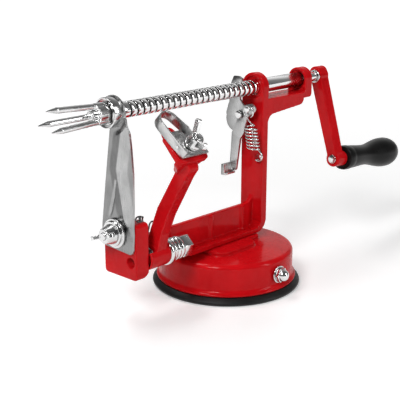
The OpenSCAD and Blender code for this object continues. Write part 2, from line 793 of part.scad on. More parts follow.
// The blade's loop about loop_c, and the direction of its far leg
loop_c = [blade_r + blade_t, leg_l];
far_way = [sin(far_lean), -cos(far_lean)];

// A point of the far leg at radius r, l along it
function far_point(r, l) = loop_c + r * [cos(far_lean), sin(far_lean)] + l * far_way;

module blade_plate() {
    lip_x = blade_t + 0.1;
    color(steel) difference() {
        union() {
            in_head() linear_extrude(plate_t)
                polygon([[1.3, 0], [21.8, 0], [21.8, 7], [18.6, 17.6], [-2, 17.6]]);
            // lip that the blade's near leg is riveted to
            on_leg() translate([lip_x, 0.3, 0]) cube([1.2, 14.7, blade_w - 1]);
        }
        in_head() translate([blade_stud_at[0], blade_stud_at[1], -1]) cylinder(r = 2.06, h = 8);
        rivet_hole();
        // room for the end of the far leg
        on_leg() translate([0, 0, -1]) linear_extrude(plate_t + 2) polygon([
            far_point(blade_r - 0.4, 0), far_point(blade_r + blade_t + 0.4, 0),
            far_point(blade_r + blade_t + 0.4, far_l + 0.4), far_point(blade_r - 0.4, far_l + 0.4)]);
    }
}

// The hole through the blade's near leg and the plate's lip
module rivet_hole() {
    on_leg() translate([-5, rivet_y, blade_w / 2 + 0.2]) rotate([0, 90, 0]) cylinder(r = rivet_r, h = 9);
}

module blade_rivets() {
    color(steel) on_leg() translate([-0.4, rivet_y, blade_w / 2 + 0.2])
        rotate([0, 90, 0]) cylinder(r = rivet_r, h = blade_t + 2);
}

// A strip bent to a loop, open towards the plate
module peeler_blade() {
    color(steel) difference() {
        on_leg() linear_extrude(blade_w) polygon(concat(
            [[0, 0]], arc(loop_c, blade_r + blade_t, 180, far_lean, 20), [far_point(blade_r + blade_t, far_l)],
            [far_point(blade_r, far_l)], arc(loop_c, blade_r, far_lean, 180, 20), [[blade_t, 0]]));
        rivet_hole();
    }
}

module blade_stud() {
    color(steel) in_head() translate([blade_stud_at[0], blade_stud_at[1], -head_t - gap])
        cylinder(r = 2, h = head_t + gap + plate_t + 8.2);
}

module blade_washer() {
    color(steel) in_head() translate([blade_stud_at[0], blade_stud_at[1], plate_t + gap]) difference() {
        union() {
            cylinder(r = 4.6, h = 1);
            translate([0, 0, 0.9]) cylinder(r = 4, h = 0.9);
        }
        translate([0, 0, -1]) cylinder(r = 2, h = 5);
    }
}

module blade_wing_nut() {
    color(steel) in_head() translate([blade_stud_at[0], blade_stud_at[1], plate_t + 2 * gap + 1.8])
        rotate([0, 0, 66]) wing_nut(2.06, 5.2, 5, 8.4, 8);
}

rubber_foot();
base_housing();
suction_cup();
lift_yoke();
cam_shaft();
cam_washer();
cam_nut();
suction_lever();
frame();
frame_screws();
feed_shaft();
fork();
crank_arm();
thrust_washer();
handle_pin();
handle_grip();
latch_plate();
latch_screw();
latch_spacer();
latch_stud();
latch_spring();
slicing_arm();
coring_tube();
slicer_stud();
slicer_washer();
slicer_wing_nut();
peeler_arm();
pivot_bolt();
pivot_collar();
arm_spring();
spring_pin();
blade_plate();
blade_rivets();
peeler_blade();
blade_stud();
blade_washer();
blade_wing_nut();
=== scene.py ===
import json
import math

import bmesh
import bpy
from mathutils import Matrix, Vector


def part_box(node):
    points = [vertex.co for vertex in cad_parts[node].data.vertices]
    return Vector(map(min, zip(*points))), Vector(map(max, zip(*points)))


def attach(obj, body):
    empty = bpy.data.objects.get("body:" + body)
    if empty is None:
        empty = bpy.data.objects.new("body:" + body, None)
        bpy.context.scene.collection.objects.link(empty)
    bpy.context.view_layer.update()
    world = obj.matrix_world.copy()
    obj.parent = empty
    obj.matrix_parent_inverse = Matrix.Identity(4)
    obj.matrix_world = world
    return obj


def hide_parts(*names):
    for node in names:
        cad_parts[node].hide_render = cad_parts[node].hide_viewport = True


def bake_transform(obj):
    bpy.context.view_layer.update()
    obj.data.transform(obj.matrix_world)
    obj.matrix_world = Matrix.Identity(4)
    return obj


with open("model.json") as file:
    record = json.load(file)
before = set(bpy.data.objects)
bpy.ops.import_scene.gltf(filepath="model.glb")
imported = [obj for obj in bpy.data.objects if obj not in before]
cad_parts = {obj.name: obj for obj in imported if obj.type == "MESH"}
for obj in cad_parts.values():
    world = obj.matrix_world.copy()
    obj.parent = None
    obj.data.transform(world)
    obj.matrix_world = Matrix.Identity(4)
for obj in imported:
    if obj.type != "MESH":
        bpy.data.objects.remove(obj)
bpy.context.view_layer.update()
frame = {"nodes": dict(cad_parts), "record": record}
print("frame loaded:", len(frame["nodes"]), "nodes")

mm = 0.001
bodyOf = {n: b for b, members in frame["record"]["behaviour"]["bodies"].items() for n in members}
shaftLow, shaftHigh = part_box("feed_shaft")
shaftZ = (shaftLow.z + shaftHigh.z) / 2


# camera at the photograph's angle
cameraSet = dict(place=(-0.4250, -0.3763, 0.2217), tilt=73.75, turn=-46.58, lens=79.5, sensor=36, shift=0.004,
                 nearest=0.01)

lens = bpy.data.cameras.new("viewLens")
lens.lens = cameraSet["lens"]
lens.sensor_width = cameraSet["sensor"]
lens.shift_x = cameraSet["shift"]
lens.clip_start = cameraSet["nearest"]
camera = bpy.data.objects.new("viewCamera", lens)
camera.location = cameraSet["place"]
camera.rotation_euler = (math.radians(cameraSet["tilt"]), 0, math.radians(cameraSet["turn"]))
bpy.context.scene.collection.objects.link(camera)
bpy.context.scene.camera = camera
bpy.context.scene.view_settings.view_transform = "Standard"


# helpers that put shader nodes in a row
class NodeRow:
    def __init__(self, tree):
        self.tree = tree

    def add(self, kind, **values):
        node = self.tree.nodes.new(kind)
        for key, value in values.items():
            setattr(node, key, value)
        return node

    def join(self, a, b):
        self.tree.links.new(a, b)

    def ramp(self, value, stops):
        node = self.add("ShaderNodeValToRGB")
        while len(node.color_ramp.elements) < len(stops):
            node.color_ramp.elements.new(0.5)
        for element, (at, colour) in zip(node.color_ramp.elements, stops):
            element.position = at
            element.color = (*colour, 1) if isinstance(colour, tuple) else (colour, colour, colour, 1)
        self.join(value, node.inputs["Fac"])
        return node.outputs["Color"]

    def spread(self, value, low, high, start=0.25, end=0.75):
        node = self.add("ShaderNodeMapRange")
        for key, number in (("From Min", start), ("From Max", end), ("To Min", low), ("To Max", high)):
            node.inputs[key].default_value = number
        self.join(value, node.inputs["Value"])
        return node.outputs["Result"]

    def math(self, job, a, b=None):
        node = self.add("ShaderNodeMath", operation=job)
        for socket, value in zip(node.inputs, (a, b)):
            if isinstance(value, (int, float)):
                socket.default_value = value
            elif value is not None:
                self.join(value, socket)
        return node.outputs[0]


class Finish(NodeRow):
    def __init__(self, name):
        self.material = bpy.data.materials.new(name)
        self.material.use_nodes = True
        super().__init__(self.material.node_tree)
        self.shader = self.tree.nodes["Principled BSDF"]
        self.place = self.add("ShaderNodeTexCoord").outputs["Object"]

    def plain(self, **values):
        for key, value in values.items():
            self.shader.inputs[key.replace("_", " ")].default_value = value

    def noise(self, scale, detail, rough=0.55, at=None):
        node = self.add("ShaderNodeTexNoise")
        node.inputs["Scale"].default_value = scale
        node.inputs["Detail"].default_value = detail
        node.inputs["Roughness"].default_value = rough
        self.join(at or self.place, node.inputs["Vector"])
        return node.outputs["Fac"]

    def toolMarks(self, scale, detail, rough=0.6):
        # noise drawn out along the axes of the lower scale
        node = self.add("ShaderNodeMapping")
        node.inputs["Scale"].default_value = scale
        self.join(self.place, node.inputs["Vector"])
        return self.noise(1.0, detail, rough, node.outputs["Vector"])

    def patches(self, s, start=0.3, end=0.7):
        return self.ramp(self.noise(*s["patches"]), [(start, s["dark"]), (end, s["light"])])

    def colour(self, output):
        self.join(output, self.shader.inputs["Base Color"])

    def roughness(self, output):
        self.join(output, self.shader.inputs["Roughness"])

    def bump(self, *layers):
        normal = None
        for height, strength, depth in layers:
            node = self.add("ShaderNodeBump")
            node.inputs["Strength"].default_value = strength
            node.inputs["Distance"].default_value = depth
            self.join(height, node.inputs["Height"])
            if normal:
                self.join(normal, node.inputs["Normal"])
            normal = node.outputs["Normal"]
        self.join(normal, self.shader.inputs["Normal"])


# patchy finishes: each noise is (scale, detail), each layer of relief (noise, strength, depth in metres)
redSet = dict(name="enamelRed", patches=(55, 4), dark=(0.54, 0.003, 0.006), light=(0.66, 0.006, 0.010),
              grain=(140, 5), gloss=(0.22, 0.32),
              relief=[((420, 2), 0.03, 0.0004), ((90, 2), 0.06, 0.0006)],  # paint over a sand casting
              shader=dict(Specular_IOR_Level=0.03, Coat_Weight=0.19, Coat_Roughness=0.03))
platedSet = dict(name="platedSteel", patches=(120, 5), dark=0.62, light=0.80,
                 grain=(260, 6), gloss=(0.12, 0.24), relief=[((900, 3), 0.06, 0.0001)],
                 shader=dict(Metallic=1.0))
wireSet = dict(name="darkWire", patches=(400, 4), dark=0.10, light=0.22,
               grain=(700, 4), gloss=(0.22, 0.36), relief=[((1500, 3), 0.05, 0.00005)],
               shader=dict(Metallic=1.0))
rubberSet = dict(name="footRubber", patches=(200, 5), dark=0.004, light=0.010,
                 grain=(500, 4), gloss=(0.42, 0.6), relief=[((1400, 4), 0.25, 0.0002)],
                 shader=dict(Specular_IOR_Level=0.3))
gripSet = dict(name="gripPlastic", patches=(90, 4), dark=0.004, light=0.008,
               grain=(600, 5), gloss=(0.26, 0.36), relief=[((1800, 3), 0.08, 0.0001)],
               shader=dict(Specular_IOR_Level=0.14))


def patchyFinish(s):
    f = Finish(s["name"])
    f.colour(f.patches(s))
    f.roughness(f.spread(f.noise(*s["grain"]), *s["gloss"]))
    f.plain(**s["shader"])
    f.bump(*[(f.noise(*pattern), strength, depth) for pattern, strength, depth in s["relief"]])
    return f.material


# feed screw, in metres: thread, plain lengths, and how its skin is drawn
screwSet = dict(start=-94.8 * mm, lead=5 * mm, turns=25, crest=3.6 * mm, flank=0.2 * mm, crestR=4.95 * mm,
                rootR=3.9 * mm, plainR=4.97 * mm, nose=-108 * mm, step=84 * mm, tailR=3.6 * mm, edge=0.5 * mm,
                overlap=1 * mm, soft=0.12 * mm, softDip=0.75, steps=56, shade=50)
turnedSet = dict(paintedShadeTones=[(0.0, 0.015), (0.7, 0.04), (0.94, 0.66), (1.0, 0.80)], marks=(9000, 60, 60), detail=3,
                 gloss=(0.08, 0.20), relief=(0.05, 0.00005))


def screwSteel(s, look):
    # turned steel with painted shade: the groove is painted almost black and the crests bright, by distance
    # from the axis
    f = Finish("screwSteel")
    parts = f.add("ShaderNodeSeparateXYZ")
    f.join(f.place, parts.inputs[0])
    up = f.math("SUBTRACT", parts.outputs["Z"], shaftZ)
    radius = f.math("SQRT", f.math("ADD", f.math("POWER", parts.outputs["Y"], 2), f.math("POWER", up, 2)))
    depth = f.spread(radius, 0.0, 1.0, s["rootR"], s["crestR"])
    # the plain ends are bright all over
    before = f.math("LESS_THAN", parts.outputs["X"], s["start"] + s["crest"])
    after = f.math("GREATER_THAN", parts.outputs["X"], s["start"] + s["lead"] * s["turns"])
    depth = f.math("MAXIMUM", depth, f.math("MAXIMUM", before, after))
    # painted shade: the ramp runs from near black at the groove's root to bright at the crest
    f.colour(f.ramp(depth, look["paintedShadeTones"]))
    marks = f.toolMarks(look["marks"], look["detail"])
    f.roughness(f.spread(marks, *look["gloss"]))
    f.plain(Metallic=1.0)
    f.bump((marks, *look["relief"]))
    return f.material


# brushed sheet with painted shade: plate and arm scale its tone by which way each face turns, so one side of
# a fold is painted lighter and the other darker
# plate and arm hold the painted shade: the tone's scale on faces turned towards -Y, then on faces turned
# towards +Y
sheetSet = dict(patches=(70, 4), dark=0.36, light=0.50, marks=(900, 1500, 90), detail=4, gloss=(0.22, 0.36),
                relief=(0.08, 0.00008), brushed=0.3, slope=0.22, plate=(1.3, 0.5), arm=(0.92, 0.32))


def brushedSheet(name, sides, s):
    f = Finish(name)
    marks = f.toolMarks(s["marks"], s["detail"])
    # painted shade: faces turned towards -Y are painted lighter and faces turned towards +Y darker, so the
    # fold's two sides look unequally lit
    paintedShadeFacing = f.add("ShaderNodeSeparateXYZ")
    f.join(f.add("ShaderNodeTexCoord").outputs["Normal"], paintedShadeFacing.inputs[0])
    share = f.add("ShaderNodeVectorMath", operation="SCALE")
    f.join(f.patches(s), share.inputs[0])
    f.join(f.spread(paintedShadeFacing.outputs["Y"], *sides, -s["slope"], s["slope"]), share.inputs["Scale"])
    f.colour(share.outputs[0])
    f.roughness(f.spread(marks, *s["gloss"]))
    f.plain(Metallic=1.0, Anisotropic=s["brushed"])
    f.bump((marks, *s["relief"]))
    return f.material


enamel, plated, wire, rubber, gripBlack = (
    patchyFinish(s) for s in (redSet, platedSet, wireSet, rubberSet, gripSet))
turned = screwSteel(screwSet, turnedSet)
sheet = brushedSheet("plateSheet", sheetSet["plate"], sheetSet)
armSheet = brushedSheet("armSheet", sheetSet["arm"], sheetSet)
print("finishes made")


# shapes
def newPiece(name, mesh, node, finish, bend=None):
    # stands for a node and moves with that node's body, or stays fixed where it is when a bend is given
    piece = bpy.data.objects.new(name, mesh)
    bpy.context.scene.collection.objects.link(piece)
    mesh.materials.clear()
    mesh.materials.append(finish)
    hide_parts(node)
    if bend:
        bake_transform(piece)
    else:
        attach(piece, bodyOf[node])


def nodeShape(node, weld=1e-6):
    # the node's own mesh as one welded skin
    shape = bmesh.new()
    shape.from_mesh(frame["nodes"][node].data)
    bmesh.ops.remove_doubles(shape, verts=shape.verts, dist=weld)
    return shape


def finished(shape, name, angle):
    # smooth, apart from edges sharper than the angle
    mesh = bpy.data.meshes.new(name)
    bmesh.ops.recalc_face_normals(shape, faces=shape.faces)
    shape.to_mesh(mesh)
    shape.free()
    for face in mesh.polygons:
        face.use_smooth = True
    mesh.set_sharp_from_angle(angle=math.radians(angle))
    return mesh


def addBoss(shape, s):
    # a plate with round corners, which the remesh melts into what it stands on
    (x0, y0), (x1, y1), r, steps = s["low"], s["high"], s["corner"], s["cornerSteps"]
    corners = ((x1 - r, y1 - r), (x0 + r, y1 - r), (x0 + r, y0 + r), (x1 - r, y0 + r))
    outline = []
    for quarter, (cx, cy) in enumerate(corners):
        for i in range(steps + 1):
            a = math.radians(90 * quarter + 90 * i / steps)
            outline.append((cx + r * math.cos(a), cy + r * math.sin(a)))
    lower, upper = ([shape.verts.new((x * mm, y * mm, z * mm)) for x, y in outline]
                    for z in (s["bottom"], s["top"]))
    for i in range(len(outline)):
        j = (i + 1) % len(outline)
        shape.faces.new((lower[i], lower[j], upper[j], upper[i]))
    shape.faces.new(lower[::-1])
    shape.faces.new(upper)


def castMesh(node, s):
    # remeshed and eased, so that edges are soft as on a casting
    shape = nodeShape(node)
    if "boss" in s:
        addBoss(shape, s["boss"])
    mesh = bpy.data.meshes.new(node + "Cast")
    shape.to_mesh(mesh)
    shape.free()
    block = bpy.data.objects.new(node + "Block", mesh)
    bpy.context.scene.collection.objects.link(block)
    grain = block.modifiers.new("grain", "REMESH")
    grain.mode = "VOXEL"
    grain.voxel_size = s["voxel"] * mm
    ease = block.modifiers.new("ease", "SMOOTH")
    ease.factor = 0.5  # each pass goes half of the way to the neighbours' mean
    ease.iterations = s["passes"]
    if s["keep"] < 1:
        thin = block.modifiers.new("thin", "DECIMATE")
        thin.ratio = s["keep"]
    bpy.context.view_layer.update()
    graph = bpy.context.evaluated_depsgraph_get()
    made = bpy.data.meshes.new_from_object(block.evaluated_get(graph))
    bpy.data.objects.remove(block)
    bpy.data.meshes.remove(mesh)
    for face in made.polygons:
        face.use_smooth = True
    return made


edgeRule = dict(flat=0.6, sharp=32, shade=40, segments=2)  # the first three in degrees


def edgedMesh(node, width):
    # the node's shape with its sharp edges broken
    shape = nodeShape(node)
    bmesh.ops.dissolve_limit(shape, angle_limit=math.radians(edgeRule["flat"]), verts=shape.verts,
                             edges=shape.edges)
    least = math.radians(edgeRule["sharp"])
    sharp = [e for e in shape.edges if len(e.link_faces) == 2 and e.calc_face_angle(0) > least]
    bmesh.ops.bevel(shape, geom=sharp, offset=width * mm, offset_type="OFFSET", segments=edgeRule["segments"],
                    profile=0.5, affect="EDGES", clamp_overlap=True)
    bmesh.ops.triangulate(shape, faces=[f for f in shape.faces if len(f.verts) > 4])
    return finished(shape, node + "Edged", edgeRule["shade"])


def latheMesh(name, profile, base, along, steps=72, angle=38):
    # turns a list of (radius, distance) about the line from base in the direction along
    shape = bmesh.new()
    along = Vector(along).normalized()
    side = along.orthogonal().normalized()
    other = along.cross(side)
    rings = []
    for radius, reach in profile:
        centre = Vector(base) + along * reach
        if radius == 0:  # one point on the axis
            rings.append([shape.verts.new(centre)])
        else:
            rings.append([shape.verts.new(centre + radius * (math.cos(a) * side + math.sin(a) * other))
                          for a in (2 * math.pi * i / steps for i in range(steps))])
    closed = len(rings[0]) > 1
    pairs = list(zip(rings, rings[1:])) + ([(rings[-1], rings[0])] if closed else [])
    for low, high in pairs:
        for i in range(steps):
            j = (i + 1) % steps
            corners = [low[i % len(low)], low[j % len(low)], high[j % len(high)], high[i % len(high)]]
            corners = list(dict.fromkeys(corners))
            if len(corners) > 2:
                shape.faces.new(corners)
    return finished(shape, name, angle)


def smoothLine(points, each):
    # a curve through all the points, with so many steps between two of them
    line = []
    for i in range(len(points) - 1):
        p = [Vector(points[max(0, min(len(points) - 1, k))]) for k in (i - 1, i, i + 1, i + 2)]
        for s in range(each):
            t = s / each
            line.append(0.5 * (2 * p[1] + (p[2] - p[0]) * t + (2 * p[0] - 5 * p[1] + 4 * p[2] - p[3]) * t ** 2
                               + (3 * p[1] - p[0] - 3 * p[2] + p[3]) * t ** 3))
    line.append(Vector(points[-1]))
    return line


def wireMesh(name, points, radius, each=4, sides=12, angle=60):
    # a round wire along the points, all in millimetres
    line = smoothLine([Vector(p) * mm for p in points], each)
    shape = bmesh.new()
    rings = []
    side = Vector((0.31, 0.52, 0.79))  # any direction across the wire's start
    for i, here in enumerate(line):
        way = (line[min(i + 1, len(line) - 1)] - line[max(i - 1, 0)]).normalized()
        side = (side - way * side.dot(way)).normalized()
        other = way.cross(side)
        rings.append([shape.verts.new(here + radius * mm * (math.cos(a) * side + math.sin(a) * other))
                      for a in (2 * math.pi * k / sides for k in range(sides))])
    for low, high in zip(rings, rings[1:]):
        for k in range(sides):
            m = (k + 1) % sides
            shape.faces.new((low[k], low[m], high[m], high[k]))
    shape.faces.new(rings[0][::-1])
    shape.faces.new(rings[-1])
    return finished(shape, name, angle)


def joined(mesh, others, angle):
    # one skin from several closed ones
    block = bpy.data.objects.new("block", mesh)
    bpy.context.scene.collection.objects.link(block)
    helpers = []
    for other in others:
        helper = bpy.data.objects.new("helper", other)
        bpy.context.scene.collection.objects.link(helper)
        helpers.append(helper)
        union = block.modifiers.new("union", "BOOLEAN")
        union.operation = "UNION"
        union.solver = "EXACT"
        union.object = helper
    bpy.context.view_layer.update()
    made = bpy.data.meshes.new_from_object(block.evaluated_get(bpy.context.evaluated_depsgraph_get()))
    for helper in helpers + [block]:
        bpy.data.objects.remove(helper)
    made.set_sharp_from_angle(angle=math.radians(angle))
    return made


# red castings: voxel in millimetres, passes of easing, share of the faces to keep
padOnDome = dict(low=(-27, -21), high=(10, 21), corner=8, cornerSteps=8, bottom=25.4, top=29.8)
castSet = dict(
    frame=dict(name="frameCasting", voxel=0.4, passes=2, keep=0.6),
    base_housing=dict(name="baseShell", voxel=0.45, passes=3, keep=0.6, boss=padOnDome),
    crank_arm=dict(name="crankCasting", voxel=0.35, passes=6, keep=1),
    peeler_arm=dict(name="peelerCasting", voxel=0.36, passes=4, keep=1),
    suction_lever=dict(name="leverCasting", voxel=0.42, passes=8, keep=1),
)
for node, s in castSet.items():
    newPiece(s["name"], castMesh(node, s), node, enamel)
print("castings eased")


# feed screw: one helical skin, joined to the plain lengths
def threadMesh(s):
    soft, dip = s["soft"], s["soft"] * s["softDip"]  # how far the edges of crest and groove are eased
    groove = s["lead"] - s["crest"]
    depth = s["crestR"] - s["rootR"]
    profile = [(0, 0), (soft, dip), (s["flank"], depth - soft), (s["flank"] + soft, depth),
               (groove / 2, depth), (groove - s["flank"] - soft, depth), (groove - s["flank"], depth - soft),
               (groove - soft, dip), (groove, 0), (groove + s["crest"] / 2, 0)]
    row, steps = len(profile), s["steps"]
    rows = row * s["turns"]
    shape = bmesh.new()
    grid = []
    for j in range(rows + 1):
        along, deep = profile[j % row]
        along += s["start"] + s["crest"] + s["lead"] * (j // row)
        radius = s["crestR"] - deep
        line = []
        for i in range(steps):
            a = 2 * math.pi * i / steps
            line.append(shape.verts.new((along + s["lead"] * i / steps, radius * math.cos(a),
                                         shaftZ + radius * math.sin(a))))
        grid.append(line)
    for j in range(rows):
        for i in range(steps):
            if i + 1 < steps:
                shape.faces.new((grid[j][i], grid[j][i + 1], grid[j + 1][i + 1], grid[j + 1][i]))
            elif j + 1 + row <= rows:
                shape.faces.new((grid[j][i], grid[j + row][0], grid[j + 1 + row][0], grid[j + 1][i]))
    first = grid[0] + [grid[j][0] for j in range(row, 0, -1)]
    last = grid[rows] + [grid[j][steps - 1] for j in range(rows - 1, rows - row - 1, -1)]
    for loop in (first, last):
        middle = shape.verts.new((sum(v.co.x for v in loop) / len(loop), 0, shaftZ))
        for a, b in zip(loop, loop[1:] + loop[:1]):
            shape.faces.new((middle, a, b))
    return finished(shape, "feedScrew", s["shade"])


def screwMesh(s):
    r, tailR, edge = s["plainR"], s["tailR"], s["edge"]
    threadEnd = s["start"] + s["lead"] * (s["turns"] - 1)
    noseEnd = s["start"] + s["lead"] + s["overlap"] - s["nose"]
    step, end = s["step"] - threadEnd, shaftHigh.x - threadEnd
    noseLine = [(0, 0), (r - edge, 0), (r, edge), (r, noseEnd), (0, noseEnd)]
    rearLine = [(0, 0), (r, 0), (r, step - edge), (r - edge, step), (tailR, step), (tailR, end - edge),
                (tailR - edge, end), (0, end)]
    nose = latheMesh("noseRod", noseLine, (s["nose"], 0, shaftZ), (1, 0, 0))
    rear = latheMesh("rearRod", rearLine, (threadEnd, 0, shaftZ), (1, 0, 0))
    return joined(threadMesh(s), [nose, rear], s["shade"])


feedMesh = screwMesh(screwSet)
newPiece("feedScrew", feedMesh, "feed_shaft", turned)
print("feed screw cut:", len(feedMesh.polygons), "faces")


# springs, along the same routes as the solids: millimetres and degrees, and the bend in metres
coilSteps = 8  # points in one turn

latchSpringSet = dict(
    wireR=0.5, latchX=18.6, studAt=(-4, 115.9), studR=1.6,
    eyeOut=2, eyeR=3.9, eyeFrom=235, eyeTurn=33, eyeSteps=10, neck=(2.4, 2.9, 2.2),
    coils=7, coilR=4, coilTop=(17.2, -5.6, 104.6), coilEnd=(18.9, -7, 89),
    columnX=25.3, holeAt=(-5.6, 81.4),
    hookOff=(-1.5, -1.2, 2.2), hookR=3.6, hookFrom=30, hookTurn=36, hookSteps=6,
    ends=[(0.2, -0.4, -0.5), (3.6, 0, 0)],
    bend=dict(bodies=("stand", "latch"), start=(0.0185, -0.006, 0.086), end=(0.0175, -0.005, 0.108)))


def latchRoute(s):
    cx, (cy, studZ) = s["latchX"] - s["eyeOut"], s["studAt"]
    cz = studZ + s["studR"] + s["wireR"] - s["eyeR"]
    points = []
    for i in range(s["eyeSteps"]):
        a = math.radians(s["eyeFrom"] - s["eyeTurn"] * i)
        points.append((cx, cy + s["eyeR"] * math.cos(a), cz + s["eyeR"] * math.sin(a)))
    top, end = Vector(s["coilTop"]), Vector(s["coilEnd"])
    points.append(top + Vector(s["neck"]))
    count = coilSteps * s["coils"]
    for i in range(count + 1):
        a = math.radians(360 / coilSteps * i)
        points.append(top + (end - top) * i / count + s["coilR"] * Vector((math.cos(a), math.sin(a), 0)))
    hole = (s["columnX"], *s["holeAt"])
    hx, hy, hz = (a + b for a, b in zip(hole, s["hookOff"]))
    for i in range(s["hookSteps"]):
        a = math.radians(s["hookFrom"] + s["hookTurn"] * i)
        points.append((hx, hy - s["hookR"] * math.sin(a), hz + s["hookR"] * math.cos(a)))
    return points + [Vector(hole) + Vector(p) for p in s["ends"]]


armSpringSet = dict(
    wireR=0.5, hubX=-86.4, hubGap=1, pivot=(-10.4, 40), blockTop=64,
    coils=3, coilR=5.6, coilFrom=60, step=1.45,
    pin=(-89.6, -11.6), eyeUp=1.9, eyeR=2.4, eyeFrom=45, eyeTurn=40, eyeSteps=8,
    across=(0.687, -0.726, 0), back=(0.663, 0.628, 0.407),
    rise=[(-0.45, 0.4, 1.6), (-0.45, 1.6, -4), (-0.3, 3.4, -14)],  # from the block's top down to the coil
    leg=[(0, -8, 9), (0, -9.2, 15), (0, -10.2, 18.5), (0.3, -10.6, 20.8), (1.6, -10.9, 22), (3.2, -11, 21.6)],
    bend=dict(bodies=("stand", "peeler"), start=(-0.0858, -0.0104, 0.04), end=(-0.0800, -0.0104, 0.04)))


def armRoute(s):
    x0 = s["hubX"] + s["hubGap"]
    py, pz = s["pivot"]
    coil = []
    for i in range(coilSteps * s["coils"] + 1):
        a = math.radians(s["coilFrom"] + 360 / coilSteps * i)
        coil.append(Vector((x0 + s["step"] * i / coilSteps, py + s["coilR"] * math.cos(a),
                            pz + s["coilR"] * math.sin(a))))
    centre = Vector((*s["pin"], s["blockTop"] + s["eyeUp"]))
    eye = []
    for i in range(s["eyeSteps"]):
        a = math.radians(s["eyeFrom"] + s["eyeTurn"] * i)
        eye.append(centre + s["eyeR"] * (math.cos(a) * Vector(s["across"]) + math.sin(a) * Vector(s["back"])))
    rise = [(x0 + x, py + y, s["blockTop"] + z) for x, y, z in s["rise"]]
    leg = [(coil[-1].x + x, y, pz + z) for x, y, z in s["leg"]]
    return eye[::-1] + rise + coil + leg


for name, node, finish, route, s in (
        ("latchCoil", "latch_spring", plated, latchRoute, latchSpringSet),
        ("armCoil", "arm_spring", wire, armRoute, armSpringSet)):
    newPiece(name, wireMesh(name, route(s), s["wireR"]), node, finish, s["bend"])
print("springs wound")


# slicing arm: the sheet with its stamped folds, pressed towards the fork, in millimetres along Y and Z
roofLine = [(-9, 122), (-3.7, 96.4), (-10.2, 63.9)]
foldSet = dict(
    grid=0.6, shade=35,
    folds=[dict(line=roofLine, width=7.5, height=1.5), dict(line=roofLine, width=1.6, height=0.5),
           dict(line=[(-2.2, 89), (5.4, 63.8)], width=1.4, height=-0.8)],
    # flat under the washer and round the tube
    flats=[dict(at=(0, 57), radius=9.6, fade=4), dict(at=(0, shaftZ / mm), radius=10.6, fade=3)])


def foldedMesh(s):
    shape = nodeShape("slicing_arm")
    low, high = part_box("slicing_arm")
    for axis in (1, 2):
        at = low[axis] + s["grid"] * mm
        while at < high[axis]:
            place, normal = Vector((0, 0, 0)), Vector((0, 0, 0))
            place[axis], normal[axis] = at, 1
            everything = shape.verts[:] + shape.edges[:] + shape.faces[:]
            bmesh.ops.bisect_plane(shape, geom=everything, plane_co=place, plane_no=normal)
            at += s["grid"] * mm
    for v in shape.verts:
        here = Vector((v.co.y, v.co.z)) / mm
        lift = 0.0
        for fold in s["folds"]:
            near = fold["width"]
            for a, b in zip(fold["line"], fold["line"][1:]):
                a, b = Vector(a), Vector(b)
                t = max(0.0, min(1.0, (here - a).dot(b - a) / (b - a).length_squared))
                near = min(near, (here - a - (b - a) * t).length)
            lift += fold["height"] * (1 - near / fold["width"])
        for flat in s["flats"]:
            lift *= max(0.0, min(1.0, ((here - Vector(flat["at"])).length - flat["radius"]) / flat["fade"]))
        v.co.x -= lift * mm
    return finished(shape, "slicerSheet", s["shade"])


newPiece("slicerSheet", foldedMesh(foldSet), "slicing_arm", armSheet)
print("slicing arm folded")


# nuts, softened like the castings
nutSet = dict(
    slicer_wing_nut=dict(name="slicerWings", voxel=0.22, passes=2, keep=1),
    blade_wing_nut=dict(name="bladeWings", voxel=0.2, passes=2, keep=1),
    cam_nut=dict(name="camDome", voxel=0.2, passes=3, keep=1),
)
for node, s in nutSet.items():
    newPiece(s["name"], castMesh(node, s), node, plated)

# apple fork: prongs and hub, with a flange that runs inside the coring tube
forkSet = dict(voxel=0.22, passes=2, keep=0.6, flangeR=7.0 * mm, holdR=5.6 * mm, thick=2 * mm, edge=0.3 * mm,
               inset=1 * mm, shade=50)


def forkMesh(s):
    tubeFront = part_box("coring_tube")[0].x
    profile = [(s["holdR"], 0), (s["flangeR"] - s["edge"], 0), (s["flangeR"], s["edge"]),
               (s["flangeR"], s["thick"]), (s["holdR"], s["thick"])]
    flange = latheMesh("forkFlange", profile, (tubeFront + s["inset"], 0, shaftZ), (1, 0, 0))
    return joined(castMesh("fork", s), [flange], s["shade"])


newPiece("appleFork", forkMesh(forkSet), "fork", plated)

# plates, washers and pins: name, width of the broken edge in millimetres, slot and finish
edgeSet = dict(
    latch_plate=("latchPlate", 0.25, "sheet_steel", sheet),
    coring_tube=("coringTube", 0.2, "plated_steel", plated),
    slicer_stud=("slicerStud", 0.35, "plated_steel", plated),
    slicer_washer=("slicerWasher", 0.25, "plated_steel", plated),
    pivot_bolt=("pivotBolt", 0.6, "plated_steel", plated),
    spring_pin=("springPin", 0.1, "plated_steel", wire),
    latch_screw=("latchScrew", 0.5, "plated_steel", plated),
    latch_stud=("latchStud", 0.5, "plated_steel", plated),
    latch_spacer=("latchSpacer", 0.2, "plated_steel", plated),
    blade_plate=("bladePlate", 0.2, "sheet_steel", sheet),
    peeler_blade=("peelerBlade", 0.12, "plated_steel", sheet),
    blade_rivets=("bladeRivet", 0.3, "plated_steel", plated),
    blade_stud=("bladeStud", 0.3, "plated_steel", plated),
    blade_washer=("bladeWasher", 0.2, "plated_steel", plated),
    cam_washer=("camWasher", 0.25, "plated_steel", plated),
    cam_shaft=("camShaft", 0.4, "plated_steel", plated),
    lift_yoke=("liftYoke", 0.4, "plated_steel", plated),
    frame_screws=("frameScrews", 0.4, "plated_steel", plated),
    thrust_washer=("thrustWasher", 0.25, "plated_steel", plated),
    handle_pin=("handlePin", 0.5, "plated_steel", plated),
    rubber_foot=("rubberFoot", 0.6, "rubber", rubber),
    suction_cup=("suctionCup", 0.5, "rubber", rubber),
)
